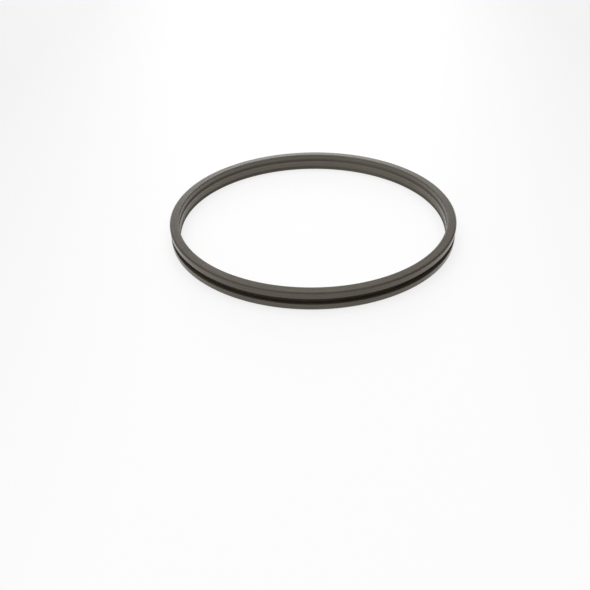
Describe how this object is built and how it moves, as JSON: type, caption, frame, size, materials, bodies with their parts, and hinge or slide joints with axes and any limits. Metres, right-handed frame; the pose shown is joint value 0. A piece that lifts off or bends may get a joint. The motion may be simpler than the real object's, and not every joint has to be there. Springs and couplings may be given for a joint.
{
  "type": "piston seal ring",
  "caption": "Turned ring with two sealing lands parted by a groove outside, and two shallow round seats side by side in its bore.",
  "frame": {"origin": "on the ring's axis, in the plane of its lower flank", "axes": "+Z along the ring's axis, from the lower flank to the upper flank; X and Y lie in the lower flank, and any direction in it is as good as another"},
  "size_m": [0.19, 0.19, 0.0121],
  "materials": {
    "filled_plastic": "dark brown-grey bronze-filled plastic, fine-turned all over, with a low satin gloss"
  },
  "bodies": {
    "root": {"seal_ring": "filled_plastic"}
  },
  "joints": []
}
